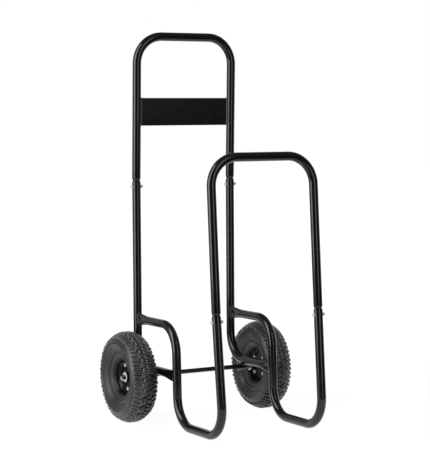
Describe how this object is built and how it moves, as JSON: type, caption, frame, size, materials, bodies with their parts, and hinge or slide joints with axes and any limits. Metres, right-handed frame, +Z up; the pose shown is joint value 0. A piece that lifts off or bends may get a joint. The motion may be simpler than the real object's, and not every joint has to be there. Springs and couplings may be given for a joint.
{
  "type": "fireside log cart",
  "caption": "Upright tubular steel cart with two wheels, a tall handle hoop, a lower front hoop and an open bay that holds a stack of firewood.",
  "frame": {"origin": "on the floor at the centre of the cart's footprint", "axes": "+Z up, -Y towards the low front hoop, +Y towards the handle, +X to the right wheel; the wheels turn about X"},
  "size_m": [0.5208, 0.5802, 1.1172],
  "materials": {
    "gloss_powder_coat": "glossy black powder coat on steel tube",
    "satin_powder_coat": "satin black powder coat on sheet steel",
    "black_steel_rod": "black finished steel rod and collars",
    "rim_paint": "black enamel on pressed steel",
    "zinc_plate": "bright zinc plate on steel fasteners",
    "tyre_rubber": "moulded black rubber, matt",
    "tube_rubber": "butyl rubber, matt",
    "valve_rubber": "moulded rubber",
    "black_nylon": "moulded nylon"
  },
  "bodies": {
    "frame": {"handle_hoop": "gloss_powder_coat", "handle_plate": "satin_powder_coat", "front_hoop": "gloss_powder_coat", "axle": "black_steel_rod", "back_leg_left": "gloss_powder_coat", "side_loop_left": "gloss_powder_coat", "axle_gusset_left": "gloss_powder_coat", "axle_collar_left": "black_steel_rod", "washer_outer_left": "zinc_plate", "washer_inner_left": "zinc_plate", "split_pin_left": "zinc_plate", "joint_bolt_rear_left": "zinc_plate", "joint_nut_rear_left": "zinc_plate", "joint_bolt_front_left": "zinc_plate", "joint_nut_front_left": "zinc_plate", "back_leg_right": "gloss_powder_coat", "side_loop_right": "gloss_powder_coat", "axle_gusset_right": "gloss_powder_coat", "axle_collar_right": "black_steel_rod", "washer_outer_right": "zinc_plate", "washer_inner_right": "zinc_plate", "split_pin_right": "zinc_plate", "joint_bolt_rear_right": "zinc_plate", "joint_nut_rear_right": "zinc_plate", "joint_bolt_front_right": "zinc_plate", "joint_nut_front_right": "zinc_plate"},
    "wheel_left": {"tyre_left": "tyre_rubber", "inner_tube_left": "tube_rubber", "rim_outer_left": "rim_paint", "rim_inner_left": "rim_paint", "hub_left": "rim_paint", "hub_bush_outer_left": "black_nylon", "hub_bush_inner_left": "black_nylon", "valve_stem_left": "valve_rubber", "valve_cap_left": "black_nylon", "rim_bolt_left_1": "zinc_plate", "rim_bolt_left_2": "zinc_plate", "rim_bolt_left_3": "zinc_plate", "rim_bolt_left_4": "zinc_plate", "rim_nut_left_1": "zinc_plate", "rim_nut_left_2": "zinc_plate", "rim_nut_left_3": "zinc_plate", "rim_nut_left_4": "zinc_plate"},
    "wheel_right": {"tyre_right": "tyre_rubber", "inner_tube_right": "tube_rubber", "rim_outer_right": "rim_paint", "rim_inner_right": "rim_paint", "hub_right": "rim_paint", "hub_bush_outer_right": "black_nylon", "hub_bush_inner_right": "black_nylon", "valve_stem_right": "valve_rubber", "valve_cap_right": "black_nylon", "rim_bolt_right_1": "zinc_plate", "rim_bolt_right_2": "zinc_plate", "rim_bolt_right_3": "zinc_plate", "rim_bolt_right_4": "zinc_plate", "rim_nut_right_1": "zinc_plate", "rim_nut_right_2": "zinc_plate", "rim_nut_right_3": "zinc_plate", "rim_nut_right_4": "zinc_plate"}
  },
  "joints": [
    {"name": "wheel_left_spin", "type": "hinge", "parent": "frame", "child": "wheel_left", "pos_m": [-0.2194, 0.16015, 0.13], "axis": [1, 0, 0], "continuous": true},
    {"name": "wheel_right_spin", "type": "hinge", "parent": "frame", "child": "wheel_right", "pos_m": [0.2194, 0.16015, 0.13], "axis": [1, 0, 0], "continuous": true}
  ]
}
